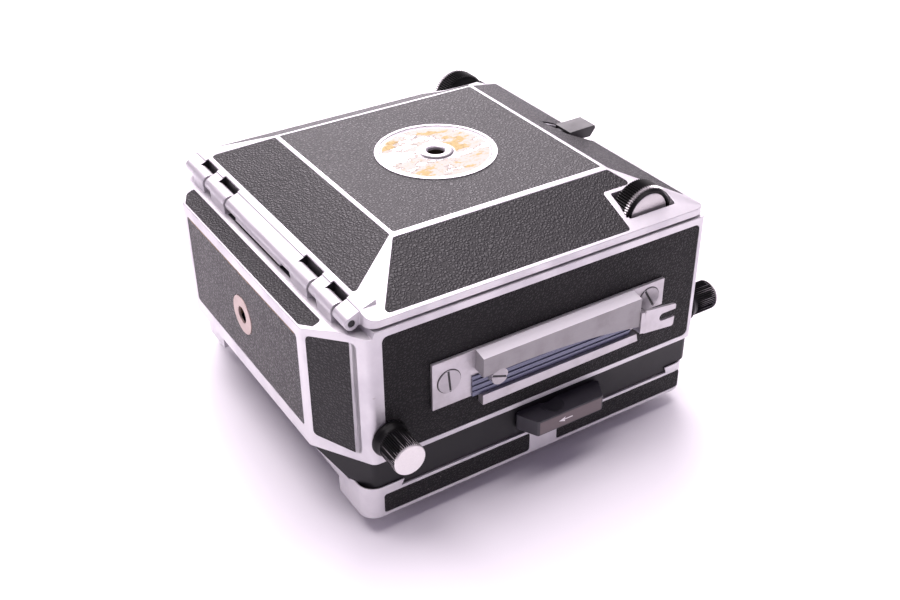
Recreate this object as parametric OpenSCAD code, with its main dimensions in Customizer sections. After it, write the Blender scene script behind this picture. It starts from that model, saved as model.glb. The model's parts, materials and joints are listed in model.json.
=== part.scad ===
// Folding press camera for roll film, closed and lying on its back.
// +Z is the camera's front, +X its top side and -Y the photographer's left.
// The lens axis is x = 0, y = 0 and the surface that it lies on is z = 0.

/* [Body] */
// Width of the body, from the photographer's left to right
body_w = 140; // [138:0.5:142]
// Distance from the lens axis to the bottom face
body_bottom = 80.5; // [80:0.1:81]
// Distance from the lens axis to the top face
body_top = 69.3; // [69.3:0.1:69.4]
// Height of the body's back edge
body_back_z = 30.6; // [30:0.1:31]
// Height of the body's front rim
body_rim_z = 82.4; // [82:0.1:82.5]
// Wall thickness of the body
wall = 3.5; // [3:0.1:4]
// How far the corner chamfers run back from the bottom face
chamfer_run = 13; // [12:0.5:14]
// Width of each corner chamfer across the bottom face
chamfer_width = 21; // [20:0.5:22]
// Height of the hinge ledge at the front of the bottom face
ledge_z = 80.3; // [80:0.1:80.5]
// Depth of the recesses that hold the leather
recess_d = 0.7; // [0.5:0.05:0.9]
// Thickness of the leather panels
leather_t = 0.6; // [0.4:0.05:0.7]

/* [Bed] */
// Height of the bed's lower edge
bed_z = 83.1; // [83:0.05:83.2]
// Height of the fold between the bed's side band and its slopes
fold_z = 85.8; // [85.5:0.1:86]
// Height of the bed's flat centre panel
peak_z = 97.15; // [97:0.05:97.5]
// Half the width of the flat centre panel
panel_half = 43; // [42.5:0.1:43.5]
// Half the width of the bed at its fold
bed_half = 69.4; // [69:0.1:69.5]
// End of the bed on the top side
bed_end = 68.5; // [68:0.1:68.8]
// Radius of the round tripod disc
disc_r = 22.4; // [22:0.1:23]

/* [Hinge] */
// Distance of the hinge pin from the lens axis
hinge_x = -69.8; // [-70:0.1:-69.6]
// Height of the hinge pin
hinge_z = 84; // [83.9:0.05:84.1]
// Radius of the hinge knuckles
knuckle_r = 3; // [2.8:0.1:3]
// Radius of the hinge pin
pin_r = 1.2; // [1:0.05:1.3]

/* [Focusing] */
// Position of the focusing shaft along the bed
shaft_x = 47.5; // [47:0.1:48]
// Height of the focusing shaft
shaft_z = 86; // [85.8:0.1:86]
// Radius of the focusing wheels
wheel_r = 10.2; // [10:0.1:10.2]
// Inner face of each focusing wheel
wheel_in = 54.5; // [54.4:0.1:55]
// Outer face of each focusing wheel
wheel_out = 63.5; // [63:0.1:63.6]
// Rolling radius of the pinions
pinion_r = 3.55; // [3.5:0.01:3.55]

/* [Back] */
// Height of the lower edge of the extension frame
frame_z = 7; // [6.9:0.1:7.1]
// Height of the top edge of the extension frame
rim_z = 17.5; // [17.4:0.1:17.6]
// Radius of the revolving back's ring
ring_r = 59; // [58.5:0.1:59]
// Height of the axes of the four lock knobs
knob_z = 40.2; // [40:0.1:40.5]

/* [Lens] */
// Radius of the shutter housing
shutter_r = 27; // [26:0.5:27]
// Radius of the front lens barrel
barrel_r = 17; // [16:0.5:17.5]

/* [Hidden] */
$fn = 64;

side_y = body_w / 2;
flat_half = side_y - chamfer_width;
chamfer_x = -body_bottom + chamfer_run;
ledge_edge_z = ledge_z - 2.7;
ledge_edge_x = -body_bottom + 6.8;
floor_z = body_back_z + wall;
cavity_y = side_y - wall;
cavity_x0 = -body_bottom + wall;
cavity_x1 = body_top - wall;
chamfer_len = norm([chamfer_run, chamfer_width]);
chamfer_angle = atan2(chamfer_width, chamfer_run);
bed_x0 = -67;
slope_bottom = 0.378;
tongue_half = 64;
// Radius of the bed's own knuckles, which stand back from the body's
bed_knuckle_r = 2.4;
// Half the length and the lower edge of the tongue's rolled front
apron_half = 18;
apron_z = 81.6;
// Run of the pockets that the bed leaves for the body's knuckles
pocket_run = 7.9;
fit = 0.05;
gap = 0.4;
lip_gap = 0.3;
// Knuckles of the body: start and end along the pin, on each side
knuckle_spans = [[26.9, 39], [45.8, 55.4]];
// Posts of the extension back: their places and the direction of their lock knobs
post_places = [[-61.9, -58], [-61.9, 58], [58, -62], [58, 62]];
post_r = 2.5;
tripod_r = 3.175;
// Height of the tripod socket in the bottom face, and half the width of its bush's square shank
socket_z = 55;
bush_half = 5;
silver = "gainsboro";
leather = "dimgray";
black = "#202024";

// ---- outlines ----

function unit(v) = v / norm(v);

// One corner b, between its neighbours a and c, rounded with radius r
function corner(a, b, c, r, n) =
    let (u = unit(a - b), v = unit(c - b), half = acos(u * v) / 2, m = b + unit(u + v) * r / sin(half),
         s = b + u * r / tan(half) - m, e = b + v * r / tan(half) - m,
         a0 = atan2(s[1], s[0]), turn = (atan2(e[1], e[0]) - a0 + 540) % 360 - 180)
    [for (i = [0:n]) m + r * [cos(a0 + turn * i / n), sin(a0 + turn * i / n)]];

function rounded(pts, r, n = 4) =
    let (k = len(pts))
    [for (i = [0:k - 1]) each corner(pts[(i + k - 1) % k], pts[i], pts[(i + 1) % k], r, n)];

function box_points(x0, x1, y0, y1) = [[x0, y0], [x1, y0], [x1, y1], [x0, y1]];

function body_points(d) = [[-body_bottom + d, -flat_half + d / 2], [chamfer_x + d / 2, -side_y + d],
    [body_top - d, -side_y + d], [body_top - d, side_y - d], [chamfer_x + d / 2, side_y - d],
    [-body_bottom + d, flat_half - d / 2]];

module prism(pts, z0, z1) {
    translate([0, 0, z0]) linear_extrude(z1 - z0) polygon(pts);
}

// A profile drawn in X and Z, run along Y
module run_y(pts, y0, y1) {
    translate([0, y1, 0]) rotate([90, 0, 0]) linear_extrude(y1 - y0) polygon(pts);
}

// A profile drawn in Y and Z, run along X
module run_x(pts, x0, x1) {
    translate([x0, 0, 0]) rotate([90, 0, 90]) linear_extrude(x1 - x0) polygon(pts);
}

module rod_y(x, z, r, y0, y1) {
    translate([x, y1, z]) rotate([90, 0, 0]) cylinder(h = y1 - y0, r = r);
}

module rod_x(y, z, r, x0, x1) {
    translate([x0, y, z]) rotate([0, 90, 0]) cylinder(h = x1 - x0, r = r);
}

module tube(r_out, r_in, z0, z1) {
    difference() {
        translate([0, 0, z0]) cylinder(h = z1 - z0, r = r_out);
        translate([0, 0, z0 - 1]) cylinder(h = z1 - z0 + 2, r = r_in);
    }
}

// ---- leather panels of the body: each is drawn once, as a solid d thick ----

side_panel = box_points(-62.9, 66, 32.5, 79.7);
bottom_panel = box_points(-45.7, 45.7, 36.5, 73.3);
top_panel = box_points(-62.5, 62.5, 36, 76);
ledge_panel = [[0.6, -46.8], [3.4, -51.8], [6.5, -51.8], [6.5, 51.8], [3.4, 51.8], [0.6, 46.8]];
chamfer_panel = [[1.8, 36], [chamfer_len - 4.4, 33.4], [chamfer_len - 4.4, 78], [1.8, 75.4]];

module side_leather(d) {
    translate([0, -side_y + d, 0]) rotate([90, 0, 0]) linear_extrude(d) polygon(rounded(side_panel, 2));
}

module top_leather(d) {
    translate([body_top - d, 0, 0]) rotate([90, 0, 90]) linear_extrude(d) polygon(rounded(top_panel, 2));
}

module bottom_leather(d) {
    translate([-body_bottom, 0, 0]) rotate([90, 0, 90]) linear_extrude(d) polygon(rounded(bottom_panel, 1.5));
}

module chamfer_leather(d) {
    translate([-body_bottom, -flat_half, 0]) rotate([0, 0, -chamfer_angle]) translate([0, d, 0])
        rotate([90, 0, 0]) linear_extrude(d) polygon(rounded(chamfer_panel, 1.8));
}

// The ledge's panel; proud is how far it stands out of the ledge
module ledge_leather(d, proud = 0) {
    fall = atan2(ledge_z - ledge_edge_z, ledge_edge_x + body_bottom);
    translate([-body_bottom, 0, ledge_edge_z]) rotate([0, -fall, 0]) translate([0, 0, -d])
        linear_extrude(d + proud) polygon(rounded(ledge_panel, 1));
}

module both_sides() {
    children();
    mirror([0, 1, 0]) children();
}

// ---- body ----

module knuckle(y0, y1, r) {
    rod_y(hinge_x, hinge_z, r, y0, y1);
    translate([hinge_x - r + 0.2, y0, ledge_z - 1]) cube([2 * r - 0.4, y1 - y0, hinge_z - ledge_z + 1]);
}

module post_holes(z0, z1) {
    for (p = post_places) translate([p[0], p[1], z0]) cylinder(h = z1 - z0, r = post_r + fit);
}

module body_shell() {
    front = [[-body_bottom - 1, ledge_edge_z], [-body_bottom, ledge_edge_z], [ledge_edge_x, ledge_z],
        [-66.2, ledge_z], [-65.4, body_rim_z + 0.1], [-65.4, body_rim_z + 9], [-body_bottom - 1, body_rim_z + 9]];
    color(silver) difference() {
        union() {
            difference() {
                prism(rounded(body_points(0), 3), body_back_z, body_rim_z);
                run_y(front, -side_y - 1, side_y + 1);
            }
            both_sides() for (s = knuckle_spans) knuckle(s[0], s[1], knuckle_r);
        }
        difference() {
            prism(body_points(wall), floor_z, body_rim_z + 1);
            translate([-body_bottom, -side_y, ledge_z - 3.2]) cube([16.5, body_w, 9]);
        }
        prism(box_points(-45, 45, -45, 45), body_back_z - 1, floor_z + 1);
        post_holes(body_back_z - 1, floor_z + 1);
        rod_y(hinge_x, hinge_z, pin_r, -tongue_half, tongue_half);
        both_sides() {
            side_leather(recess_d);
            chamfer_leather(recess_d);
            rod_y(post_places[0][0], knob_z, 1.8 + fit, -side_y - 1, -cavity_y + 1);
            rod_x(post_places[2][1], knob_z, 1.8 + fit, cavity_x1 - 1, body_top + 1);
        }
        top_leather(recess_d);
        bottom_leather(recess_d);
        ledge_leather(recess_d, 1);
        translate([-body_bottom - 1, -bush_half, socket_z - bush_half]) cube([wall + 2, 2 * bush_half, 2 * bush_half]);
    }
}

// Where the extension frame has its corner lips; grow widens it
module lip_zone(grow) {
    top = rim_z + 3.1 + grow;
    both_sides() {
        run_y([[frame_x0 - 5, rim_z - 1.5], [-58.4 + grow, rim_z - 1.5], [-56.2 + grow, top],
            [frame_x0 - 5, top]], -side_y - 1, -58 + grow);
        run_y([[58.6 - grow, rim_z - 1.5], [frame_x1 + 1, rim_z - 1.5], [frame_x1 + 1, top],
            [57 - grow, top]], -side_y - 1, -60 + grow);
    }
}

// Room in the rear band for the corner lips of the extension frame
module lip_room() {
    difference() {
        intersection() {
            lip_zone(lip_gap);
            prism(box_points(-side_y - 9, side_y, -side_y, side_y), rim_z - 1, rim_z + 2.4 + lip_gap);
        }
        prism(rounded(box_points(frame_x0 + 0.7, frame_x1 - 0.8, -frame_y + 0.68, frame_y - 0.68), 5.4, 6),
            rim_z - 2, rim_z + 4);
    }
}

module rear_housing() {
    profile = [[-body_bottom + 0.7, body_back_z], [body_top - 0.6, body_back_z], [body_top - 0.6, rim_z],
        [-70.6, rim_z]];
    color(black) difference() {
        intersection() {
            run_y(profile, -side_y + 0.9, side_y - 0.9);
            prism(rounded(body_points(0.9), 3), rim_z, body_back_z);
        }
        prism(rounded(box_points(-66, 65, -65.5, 65.5), 4), rim_z + 3, body_back_z + 1);
        prism(box_points(-46, 46, -46, 46), rim_z - 1, body_back_z);
        post_holes(rim_z - 1, body_back_z);
        translate([-7, -side_y - 1, 22.8]) cube([27, 8, 3.4]);
        lip_room();
    }
}

module leather_left() {
    color(leather) difference() {
        side_leather_inset();
        rod_y(post_places[0][0], knob_z, 6.4, -side_y - 1, -cavity_y);
    }
}

module side_leather_inset() {
    translate([0, recess_d - leather_t, 0]) side_leather(leather_t);
}

module leather_right() {
    mirror([0, 1, 0]) leather_left();
}

module leather_top() {
    color(leather) difference() {
        translate([-(recess_d - leather_t), 0, 0]) top_leather(leather_t);
        both_sides() rod_x(post_places[2][1], knob_z, 6.4, cavity_x1, body_top + 1);
        translate([cavity_x1, -12, 50]) cube([wall + 1, 24, 20]);
    }
}

module leather_bottom() {
    color(leather) difference() {
        translate([recess_d - leather_t, 0, 0]) bottom_leather(leather_t);
        rod_x(0, socket_z, 7.6, -body_bottom - 1, cavity_x0);
    }
}

module leather_corners() {
    color(leather) both_sides() difference() {
        chamfer_leather(recess_d);
        translate([0, -0.001, 0]) chamfer_cap();
    }
    color(leather) difference() {
        ledge_leather(recess_d);
        ledge_leather(recess_d - leather_t, 1);
    }
}

// The outer film of the chamfer recess, which the leather leaves free
module chamfer_cap() {
    chamfer_leather(recess_d - leather_t);
}

module tripod_bush() {
    color(silver) difference() {
        union() {
            translate([-body_bottom + 0.3, -bush_half, socket_z - bush_half])
                cube([wall + 4.7, 2 * bush_half, 2 * bush_half]);
            rod_x(0, socket_z, 7.4, -body_bottom - 0.1, -body_bottom + recess_d);
        }
        rod_x(0, socket_z, tripod_r, -body_bottom - 1, cavity_x0 + 6);
    }
}

module hinge_pin() {
    color("silver") rod_y(hinge_x, hinge_z, pin_r, -63.8, 63.8);
}

// ---- grip rail on the left side ----

grip_y = -side_y;
plate_t = 1.2;
rail_front = grip_y - 6;
// The small screw at the rail's end: its place along X and Z, and its radius
clamp_screw = [-22.3, 52, 3.2];
slot_d = 0.3;

module grip_plate() {
    left = box_points(-46, -30, 44.8, 63.1);
    middle = box_points(-30.5, 38, 46, 63.1);
    right = box_points(37, 50.7, 52.1, 63.1);
    color("silver") for (p = [left, middle, right]) run_y(p, grip_y - plate_t, grip_y);
}

module grip_rail() {
    bow_r = 260;
    color("silver") difference() {
        run_x([[grip_y - plate_t, 63], [rail_front, 62], [rail_front, 47], [rail_front + 1, 47],
            [grip_y - 2.6, 55], [grip_y - plate_t, 55]], -29.4, 36.5);
        // the shallow bow that the lower edge of the rail follows
        translate([-14, rail_front - 1, 55 - bow_r]) rotate([-90, 0, 0]) cylinder(h = 5, r = bow_r, $fn = 180);
        rod_y(clamp_screw[0], clamp_screw[1], clamp_screw[2] + lip_gap, rail_front - 1, grip_y);
    }
}

module grip_groove() {
    rib_pitch = 2.2;
    color("#3c4056") {
        run_y(box_points(-31, 36, 44.8, 53), grip_y - plate_t - 0.6, grip_y - plate_t);
        for (i = [0:2]) translate([-31, grip_y - plate_t - 1, 46.4 + i * rib_pitch]) cube([67, 0.4, 0.6]);
    }
}

module grip_strip() {
    color("silver") run_y([[-27.5, 40.6], [39, 41.4], [38.3, 44.7], [-27.5, 44.7]], grip_y - 3, grip_y);
}

module grip_fork() {
    fork_y = rail_front - 0.6;
    color("silver") {
        difference() {
            run_y(rounded([[37.4, 47], [52, 45.4], [52.6, 54.8], [38.4, 56.4]], 1), fork_y, fork_y + 1);
            translate([46.6, fork_y - 1, 51]) rotate([-90, 0, 0]) cylinder(h = 3, r = 1.5);
            translate([46.6, fork_y - 1, 49.5]) cube([9, 3, 3]);
        }
        run_y([[36.5, 47.4], [38.2, 47.2], [38.2, 56], [36.5, 56.2]], fork_y, grip_y - plate_t);
    }
}

module slotted_head(x, z, r, y0, t, turn) {
    difference() {
        rod_y(x, z, r, y0 - t, y0);
        translate([x, y0 - t, z]) rotate([0, turn, 0]) cube([2 * r + 1, 2 * slot_d, 0.8], center = true);
    }
}

module grip_screws() {
    color("silver") {
        slotted_head(-39.7, 54.6, 4.3, grip_y - plate_t, 0.45, 84);
        slotted_head(44, 57, 4.3, grip_y - plate_t, 0.45, 60);
        slotted_head(clamp_screw[0], clamp_screw[1], clamp_screw[2], grip_y - plate_t - 1, 3, 20);
    }
}

module accessory_shoe() {
    rail = [[9.5, body_top - recess_d], [9.5, body_top + 3.4], [6.6, body_top + 3.4], [6.6, body_top + 2.4],
        [8, body_top + 2.4], [8, body_top + 0.8], [0, body_top + 0.8], [0, body_top - recess_d]];
    color(silver) both_sides() translate([0, 0, 51]) linear_extrude(18) polygon([for (p = rail) [p[1], p[0]]]);
}

// ---- bellows and front standard ----

bellows_z0 = floor_z + 2;
bellows_z1 = 50;
opening = 28;

module bellows_frame() {
    color(black) difference() {
        prism(rounded(box_points(-48.5, 48.5, -48.5, 48.5), 2), floor_z, bellows_z0);
        prism(box_points(-40, 40, -40, 40), floor_z - 1, bellows_z0 + 1);
    }
}

module bellows() {
    pleats = 7;
    step = (bellows_z1 - bellows_z0) / (2 * pleats);
    color("#18181a") for (i = [0:2 * pleats - 1]) {
        half = 45 - 12 * i / (2 * pleats - 1) - (i % 2) * 3;
        difference() {
            prism(box_points(-half, half, -half, half), bellows_z0 + i * step, bellows_z0 + (i + 1) * step);
            prism(box_points(-opening, opening, -opening, opening), bellows_z0 - 1, bellows_z1 + 1);
        }
    }
}

module standard_foot() {
    color("silver") difference() {
        run_y([[-62, 46], [-44, 46], [-44, 56], [-59, 56], [-62, 54]], -27, 27);
        both_sides() rod_x(18, 50, 2, -63, -43);
    }
}

module standard_frame() {
    color("silver") difference() {
        prism(rounded([[-44, -36], [38, -36], [38, 36], [-44, 36]], 4), bellows_z1, bellows_z1 + 4);
        prism(box_points(-opening, opening, -opening, opening), bellows_z1 - 1, bellows_z1 + 5);
    }
}

module lens_board() {
    color(black) difference() {
        prism(rounded(box_points(-32, 32, -32, 32), 3), 54, 57);
        translate([0, 0, 53]) cylinder(h = 5, r = 16.5);
    }
}

lever_pivot = [24, 22];

module shutter_housing() {
    color(black) {
        tube(shutter_r, 16.5, 57, 68);
        translate([lever_pivot[0], lever_pivot[1], 57]) cylinder(h = 4.4, r = 2.4);
        translate([lever_pivot[0], lever_pivot[1], 57]) cylinder(h = 7.6, r = 1.2);
    }
}

module lens_barrel() {
    color("#303036") {
        difference() {
            union() {
                translate([0, 0, 46]) cylinder(h = 22, r = 16.5);
                translate([0, 0, 68]) cylinder(h = 4, r = 20);
                translate([0, 0, 72]) cylinder(h = 6.2, r = barrel_r);
            }
            translate([0, 0, 45]) cylinder(h = 28, r = 12);
            translate([0, 0, 70]) cylinder(h = 9, r = 14);
        }
    }
}

// A lens: a disc of radius r with two faces curved with radius cr
module lens(r, t, cr) {
    sag = cr - sqrt(cr * cr - r * r);
    rotate_extrude() polygon(concat([[0, -t / 2 - sag]],
        [for (i = [1:6]) [r * i / 6, -t / 2 - sag + cr - sqrt(cr * cr - pow(r * i / 6, 2))]],
        [for (i = [6:-1:1]) [r * i / 6, t / 2 + sag - cr + sqrt(cr * cr - pow(r * i / 6, 2))]],
        [[0, t / 2 + sag]]));
}

module lens_glass() {
    color("lightblue") {
        translate([0, 0, 74]) lens(14, 2.4, 36);
        translate([0, 0, 50]) lens(12, 2.4, 30);
    }
}

module speed_ring() {
    color("silver") difference() {
        tube(shutter_r, 20 + fit, 68.1, 71.5);
        for (i = [0:35]) rotate([0, 0, i * 10]) translate([shutter_r, 0, 67]) cylinder(h = 6, r = 0.7, $fn = 16);
    }
}

module ring_lever(z0, z1, angle) {
    tube(29, shutter_r + fit, z0, z1);
    rotate([0, 0, angle]) translate([28.5, -1.5, z0]) cube([5, 3, z1 - z0]);
}

module aperture_ring() {
    color("silver") ring_lever(58.5, 60.5, 205);
}

module cocking_lever() {
    color("silver") ring_lever(61.5, 63, 150);
}

module release_lever() {
    color("silver") translate([lever_pivot[0], lever_pivot[1], 61.6]) difference() {
        union() {
            cylinder(h = 2, r = 2.3);
            rotate([0, 0, 42]) translate([1.7, -1.1, 0.2]) cube([7.3, 2.2, 1.6]);
        }
        translate([0, 0, -1]) cylinder(h = 4, r = pin_r + fit);
    }
}

// ---- bed ----

// The hipped solid of the bed, with its four slopes; down lowers the upper surface
module dome(down) {
    xz = [[bed_x0, bed_z], [bed_end, bed_z], [bed_end, fold_z - down], [panel_half, peak_z - down],
        [-panel_half, peak_z - down], [bed_x0, peak_z - down - slope_bottom * (-panel_half - bed_x0)]];
    yz = [[-bed_half, bed_z], [bed_half, bed_z], [bed_half, fold_z - down], [panel_half, peak_z - down],
        [-panel_half, peak_z - down], [-bed_half, fold_z - down]];
    intersection() {
        run_y(xz, -side_y, side_y);
        run_x(yz, -side_y - 10, side_y + 10);
        prism(rounded(box_points(bed_x0, bed_end, -bed_half, bed_half), 4, 6), bed_z - 1, peak_z + 1);
    }
}

module dome_cavity() {
    xz = [[-62, bed_z - 1], [64.5, bed_z - 1], [64.5, 84.6], [41.5, 94.9], [-41.5, 94.9], [-62, 87.2]];
    yz = [[-65.5, bed_z - 1], [65.5, bed_z - 1], [65.5, 84.4], [41.8, 94.9], [-41.8, 94.9], [-65.5, 84.4]];
    intersection() {
        run_y(xz, -side_y, side_y);
        run_x(yz, -side_y - 10, side_y + 10);
    }
}

wheel_port = [[37.8, -64.6], [58.2, -64.6], [58.2, -53.6], [37.8, -53.6]];
left_points = [[-60.6, -68], [35.4, -68.4], [35.4, -52.2], [48.2, -52.2], [43.4, -44.4], [-43.6, -44.4]];
bottom_points = [[-64.4, -56.5], [-43.9, -42.6], [-43.9, 42.6], [-64.4, 56.5]];
latch_port = [[53.3, 6.6], [57.3, -3.6], [69.5, -6.4], [69.5, 7.6], [58, 7.6]];
top_points = [[44.4, -43.6], [67.2, -60], [67.2, 60], [44.4, 43.6]];
latch_pivot = [57.2, 3];

// A leather panel of the bed: the plan outline between the dome and a lower dome
module bed_panel(pts, r) {
    color(leather) intersection() {
        prism(rounded(pts, r), bed_z, peak_z + 1);
        difference() {
            dome(recess_d - leather_t);
            dome(recess_d);
        }
    }
}

module panel_recess(pts, r) {
    difference() {
        prism(rounded(pts, r), fold_z - 2, peak_z + 1);
        dome(recess_d);
    }
}

module bed_tongue() {
    front = hinge_x - 2.2;
    rod_y(hinge_x, hinge_z, bed_knuckle_r, -tongue_half, tongue_half);
    run_y([[front, apron_z], [front, apron_z + 1.2], [front + 0.35, hinge_z], [front + 1, hinge_z + 1.2],
        [hinge_x, hinge_z + 2.3], [hinge_x + 1, hinge_z + 2.9], [hinge_x + 1, apron_z]], -apron_half, apron_half);
    run_y([[hinge_x, bed_z - 1.4], [hinge_x + 2.6, bed_z - 0.2], [-61, bed_z], [-61, 90],
        [hinge_x + 0.2, hinge_z + 2.7], [hinge_x - 0.6, hinge_z + 2.3]], -tongue_half, tongue_half);
}

module strut_lug() {
    translate([-33, 62.4, 78.6]) cube([6, 3, 8]);
    rod_y(-30, 81, pin_r, 59.8, 63);
}

module bed_shell() {
    color(silver) difference() {
        union() {
            difference() {
                union() {
                    dome(0);
                    bed_tongue();
                }
                dome_cavity();
            }
            translate([0, 0, 88]) cylinder(h = 8.4, r = 9);
            both_sides() strut_lug();
            translate([latch_pivot[0], latch_pivot[1], 83.5]) cylinder(h = 4.4, r = pin_r);
            translate([latch_pivot[0] - 3.5, latch_pivot[1] - 4, bed_z + 0.4]) cube([12, 8, 1]);
        }
        both_sides() {
            for (s = knuckle_spans) translate([hinge_x - 4, s[0] - gap, hinge_z - 5])
                cube([pocket_run, s[1] - s[0] + 2 * gap, 12]);
            panel_recess(left_points, 1.2);
            prism(rounded(wheel_port, 0.6), bed_z - 1, peak_z);
            rod_y(shaft_x, shaft_z, wheel_r + gap, wheel_in - gap, wheel_out + gap);
        }
        rod_y(hinge_x, hinge_z, pin_r + fit, -side_y, side_y);
        panel_recess(box_points(-42.3, 42.3, -42.3, 42.3), 1);
        panel_recess(bottom_points, 1);
        panel_recess(top_points, 0.8);
        prism(latch_port, 84.6, peak_z);
        translate([0, 0, 86]) cylinder(h = 15, r = tripod_r);
        translate([hinge_x - 9, -side_y, bed_z - 9]) cube([9 - knuckle_r, body_w, 30]);
    }
}

module bed_leather_centre() {
    difference() {
        bed_panel(box_points(-42.3, 42.3, -42.3, 42.3), 1);
        translate([0, 0, 90]) color(leather) cylinder(h = 9, r = disc_r);
    }
}

module bed_leather_left() {
    bed_panel(left_points, 1.2);
}

module bed_leather_right() {
    mirror([0, 1, 0]) bed_leather_left();
}

module bed_leather_bottom() {
    bed_panel(bottom_points, 1);
}

module bed_leather_top() {
    difference() {
        bed_panel(top_points, 0.8);
        color(leather) prism([for (p = latch_port) p + [p[0] > 60 ? 1 : -0.8, p[1] > 3 ? 0.9 : -0.9]], 80, 99);
    }
}

module tripod_disc() {
    z = peak_z - recess_d;
    color(silver) difference() {
        union() {
            translate([0, 0, z]) cylinder(h = 0.5, r = disc_r);
            tube(disc_r, disc_r - 1.2, z, z + 0.95);
            translate([0, 0, z]) cylinder(h = 1.1, r = 6.2);
        }
        translate([0, 0, z - 1]) cylinder(h = 3, r = tripod_r);
        translate([0, 0, z + 0.5]) cylinder(h = 1, r1 = tripod_r, r2 = 4.2);
    }
}

module bed_rails() {
    profile = [[-62, 80], [64.5, 80], [64.5, 84.4], [53, 89.4], [-54, 89.4], [-62, 87]];
    color("silver") both_sides() difference() {
        run_y(profile, 24, 28);
        translate([-63, 23, 80.9]) cube([130, 2.4, 1.3]);
        rod_y(shaft_x, shaft_z, 2 + fit, 23, 29);
    }
    color("silver") translate([-45, -26, 77.4]) cylinder(h = 2.6, r = pin_r);
}

module focus_track() {
    color("silver") {
        translate([-58, -25.2, 81.05]) cube([96, 50.4, 1]);
        both_sides() translate([-58, 12, 81.05]) cube([96, 5, shaft_z - pinion_r - fit - 81.05]);
    }
}

module focus_shaft() {
    color("silver") {
        rod_y(shaft_x, shaft_z, 2, -wheel_in - 4, wheel_in + 4);
        both_sides() rod_y(shaft_x, shaft_z, pinion_r, 12, 17);
    }
}

// A knurled outline of n ribs between the radii r0 and r1
function knurl(n, r0, r1) = [for (i = [0:2 * n - 1]) let (r = i % 2 == 0 ? r1 : r0) r * [cos(180 * i / n),
    sin(180 * i / n)]];

module focus_wheel_right() {
    color(black) difference() {
        translate([shaft_x, wheel_out, shaft_z]) rotate([90, 0, 0]) linear_extrude(wheel_out - wheel_in)
            polygon(knurl(44, wheel_r - 0.45, wheel_r));
        rod_y(shaft_x, shaft_z, wheel_r - 1.7, wheel_out - 0.4, wheel_out + 1);
        rod_y(shaft_x, shaft_z, 2, wheel_in - 1, wheel_in + 4);
    }
}

module focus_wheel_left() {
    mirror([0, 1, 0]) focus_wheel_right();
}

module bed_latch() {
    paddle = [[59.2, 86.4], [69.2, 85.9], [71.6, 89], [71.3, 90.3], [59.2, 90.1]];
    color(black) difference() {
        union() {
            run_y(paddle, -2.7, 6.8);
            translate([latch_pivot[0], latch_pivot[1], 84.8]) cylinder(h = 4.6, r = 1.9);
            translate([latch_pivot[0], 1.4, 85.6]) cube([4, 3.2, 3.6]);
        }
        translate([latch_pivot[0], latch_pivot[1], 84]) cylinder(h = 4.2, r = pin_r + fit);
    }
}

module track_lock() {
    color(black) translate([-45, -26, 0]) difference() {
        union() {
            translate([0, 0, 77.6]) cylinder(h = 2, r = 3);
            translate([-1.6, -16, 77.6]) cube([3.2, 16, 1.4]);
        }
        translate([0, 0, 77]) cylinder(h = 4, r = pin_r + fit);
    }
}

strut_len = 60.3;

module strut_right() {
    color("silver") difference() {
        union() {
            rod_y(-30, 81, 2.8, 60.2, 61.8);
            rod_y(-30 + strut_len, 81, 2.8, 60.2, 61.8);
            translate([-30, 60.2, 79.2]) cube([strut_len, 1.6, 3.6]);
        }
        rod_y(-30, 81, pin_r + fit, 59, 63);
        rod_y(-30 + strut_len, 81, pin_r, 59, 63);
    }
}

module strut_left() {
    mirror([0, 1, 0]) strut_right();
}

// ---- back ----

frame_x0 = -71.4;
frame_x1 = 68.3;
frame_y = side_y - 0.2;
frame_points = box_points(frame_x0, frame_x1, -frame_y, frame_y);
// Leather strips of the extension frame: start and end along X on the left side
strip_spans = [[-64.5, -5], [7, 65]];

module back_frame() {
    color(silver) difference() {
        union() {
            prism(rounded(frame_points, 6, 6), frame_z, rim_z - fit);
            intersection() {
                difference() {
                    prism(rounded(frame_points, 6, 6), rim_z - 1, rim_z + 2.4);
                    prism(rounded(box_points(frame_x0 + 0.5, frame_x1 - 0.6, -frame_y + 0.5, frame_y - 0.5), 5.6, 6),
                        rim_z - fit, rim_z + 3);
                }
                lip_zone(0);
            }
        }
        translate([0, 0, frame_z - 1]) cylinder(h = 14, r = ring_r);
        translate([frame_x0 - 1, -50, frame_z - 1]) cube([4, 100, 8]);
        both_sides() for (s = strip_spans) strip(s, recess_d);
        for (p = post_places) translate([p[0], p[1], rim_z - 5]) cylinder(h = 6, r = post_r);
    }
}

module strip(span, d) {
    run_y(rounded(box_points(span[0], span[1], frame_z + 1.3, rim_z - 1.3), 1), -frame_y - 0.01, -frame_y + d);
}

module back_leather() {
    color(leather) both_sides() for (s = strip_spans) intersection() {
        strip(s, recess_d);
        translate([-side_y, -frame_y + recess_d - leather_t, 0]) cube([body_w, 2, 30]);
    }
}

module back_posts() {
    color("silver") for (p = post_places) translate([p[0], p[1], rim_z - 5]) cylinder(h = 42, r = post_r);
}

// A lock knob that stands on the plane z = 0, with its screw below it
module lock_knob(reach) {
    color(black) {
        translate([0, 0, 0.1]) cylinder(h = 3, r1 = 6.6, r2 = 5.6);
        translate([0, 0, 3]) linear_extrude(10.2) polygon(knurl(36, 5.35, 5.75));
        translate([0, 0, 13.1]) cylinder(h = 0.5, r = 5.3);
        translate([0, 0, -reach]) cylinder(h = reach + 1, r = 1.8);
    }
}

reach_side = side_y - 58 - post_r - 0.4;
reach_top = body_top - 58 - post_r - 0.4;

module lock_knob_left() {
    translate([post_places[0][0], -side_y, knob_z]) rotate([90, 0, 0]) lock_knob(reach_side);
}

module lock_knob_right() {
    mirror([0, 1, 0]) lock_knob_left();
}

module lock_knob_top_left() {
    translate([body_top, post_places[2][1], knob_z]) rotate([0, 90, 0]) lock_knob(reach_top);
}

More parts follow.
